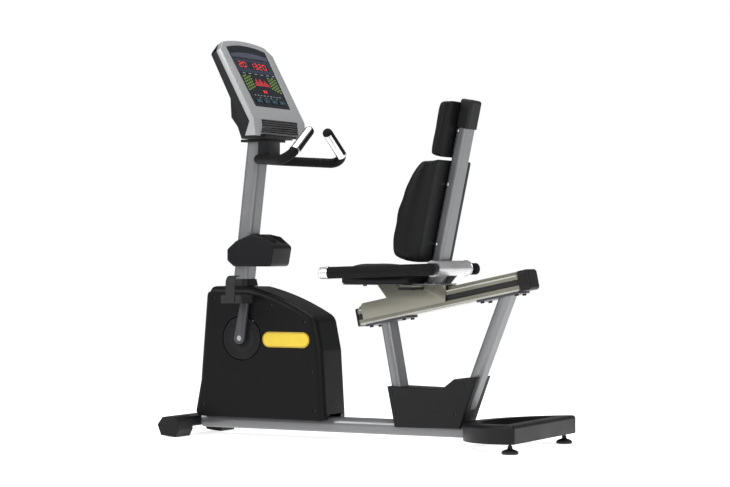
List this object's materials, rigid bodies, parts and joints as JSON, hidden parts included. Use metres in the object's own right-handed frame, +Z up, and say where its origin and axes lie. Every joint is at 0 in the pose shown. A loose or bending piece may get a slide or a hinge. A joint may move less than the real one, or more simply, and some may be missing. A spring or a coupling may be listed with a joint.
{
  "type": "recumbent exercise bike",
  "caption": "Recumbent exercise bike: shrouded crank and flywheel drive, bucket seat with back pad sliding on an inclined rail, side handles, front handlebar and display console.",
  "frame": {"origin": "on the floor, midway along the base, on the centre plane", "axes": "-X is the way the rider faces, +Z up, +Y the rider's right"},
  "size_m": [1.495, 0.569, 1.494],
  "materials": {
    "silver_paint": "satin silver-grey",
    "dark_paint": "satin charcoal",
    "black_plastic": "fine textured black",
    "bare_steel": "plain",
    "belt_rubber": "matt",
    "cast_metal": "turned",
    "rail_metal": "satin bronze-grey",
    "strap_rubber": "matt",
    "pad_cover": "fine grained black",
    "foam_grip": "soft foam",
    "sensor_plate": "bright",
    "console_silver": "silver",
    "display_dark": "gloss",
    "key_face": "gloss"
  },
  "bodies": {
    "frame": {"base_tube": "silver_paint", "front_crossbar": "dark_paint", "front_covers": "black_plastic", "transport_axles": "bare_steel", "rear_stabilizer": "dark_paint", "shroud_left": "black_plastic", "shroud_right": "black_plastic", "frame_screws": "bare_steel", "mast": "silver_paint", "mast_collar": "black_plastic", "accessory_tray": "black_plastic", "drive_frame": "dark_paint", "crank_bearings": "bare_steel", "flywheel_axle": "bare_steel", "drive_belt": "belt_rubber", "front_post": "silver_paint", "rear_post": "silver_paint", "boot_left": "black_plastic", "boot_right": "black_plastic", "seat_rail": "rail_metal", "rail_caps": "black_plastic", "rail_plates": "dark_paint", "handlebar": "foam_grip", "pulse_sensors": "sensor_plate", "console_front": "console_silver", "console_back": "black_plastic", "console_display": "display_dark", "console_bracket": "dark_paint"},
    "crank": {"crank_axle": "bare_steel", "crank_discs": "black_plastic", "crank_arm_left": "dark_paint", "crank_arm_right": "dark_paint", "pedal_spindles": "bare_steel", "drive_pulley": "black_plastic"},
    "pedal_left_body": {"pedal_left": "black_plastic", "pedal_strap_left": "strap_rubber"},
    "pedal_right_body": {"pedal_right": "black_plastic", "pedal_strap_right": "strap_rubber"},
    "flywheel_body": {"flywheel": "cast_metal"},
    "wheel_left": {"transport_wheel_left": "black_plastic"},
    "wheel_right": {"transport_wheel_right": "black_plastic"},
    "foot_left": {"levelling_foot_left": "black_plastic"},
    "foot_right": {"levelling_foot_right": "black_plastic"},
    "seat": {"seat_carriage": "rail_metal", "carriage_glides": "black_plastic", "seat_pan": "dark_paint", "seat_cushion": "pad_cover", "side_handles": "silver_paint", "handle_grip_left": "foam_grip", "handle_grip_right": "foam_grip", "back_frame": "silver_paint", "back_pad": "pad_cover", "headrest_pad": "pad_cover", "headrest_cover": "black_plastic"},
    "release_lever": {"seat_release_lever": "black_plastic"},
    "key_1": {"console_key_1": "key_face"},
    "key_2": {"console_key_2": "key_face"},
    "key_3": {"console_key_3": "key_face"},
    "key_4": {"console_key_4": "key_face"}
  },
  "joints": [
    {"name": "crank_spin", "type": "hinge", "parent": "frame", "child": "crank", "pos_m": [-0.45, 0, 0.372], "axis": [0, 1, 0], "continuous": true},
    {"name": "pedal_left_spin", "type": "hinge", "parent": "crank", "child": "pedal_left_body", "pos_m": [-0.42524, -0.166, 0.51994], "axis": [0, 1, 0], "continuous": true},
    {"name": "pedal_right_spin", "type": "hinge", "parent": "crank", "child": "pedal_right_body", "pos_m": [-0.47476, 0.166, 0.22406], "axis": [0, 1, 0], "continuous": true},
    {"name": "flywheel_spin", "type": "hinge", "parent": "frame", "child": "flywheel_body", "pos_m": [-0.255, 0, 0.305], "axis": [0, 1, 0], "continuous": true},
    {"name": "wheel_left_roll", "type": "hinge", "parent": "frame", "child": "wheel_left", "pos_m": [-0.7165, -0.173, 0.0315], "axis": [0, 1, 0], "continuous": true},
    {"name": "wheel_right_roll", "type": "hinge", "parent": "frame", "child": "wheel_right", "pos_m": [-0.7165, 0.173, 0.0315], "axis": [0, 1, 0], "continuous": true},
    {"name": "foot_left_screw", "type": "hinge", "parent": "frame", "child": "foot_left", "pos_m": [0.716, -0.24, 0.03], "axis": [0, 0, 1], "continuous": true},
    {"name": "foot_right_screw", "type": "hinge", "parent": "frame", "child": "foot_right", "pos_m": [0.716, 0.24, 0.03], "axis": [0, 0, 1], "continuous": true},
    {"name": "seat_slide", "type": "slide", "parent": "frame", "child": "seat", "axis": [0.9792, 0, 0.2028], "range_m": [-0.015, 0.27]},
    {"name": "seat_release", "type": "hinge", "parent": "seat", "child": "release_lever", "pos_m": [0.284, -0.09, 0.563], "axis": [0, -1, 0], "range_deg": [0, 20], "stiffness_Nm_per_rad": 1, "springref_deg": -5.73},
    {"name": "key_1_press", "type": "slide", "parent": "frame", "child": "key_1", "axis": [-0.879, 0, -0.4768], "range_m": [0, 0.0015], "stiffness_N_per_m": 300, "springref_m": -0.0005},
    {"name": "key_2_press", "type": "slide", "parent": "frame", "child": "key_2", "axis": [-0.879, 0, -0.4768], "range_m": [0, 0.0015], "stiffness_N_per_m": 300, "springref_m": -0.0005},
    {"name": "key_3_press", "type": "slide", "parent": "frame", "child": "key_3", "axis": [-0.879, 0, -0.4768], "range_m": [0, 0.0015], "stiffness_N_per_m": 300, "springref_m": -0.0005},
    {"name": "key_4_press", "type": "slide", "parent": "frame", "child": "key_4", "axis": [-0.879, 0, -0.4768], "range_m": [0, 0.0015], "stiffness_N_per_m": 300, "springref_m": -0.0005}
  ],
  "couplings": [
    {"joint": "flywheel_spin", "follows": "crank_spin", "ratio": 4.8}
  ]
}
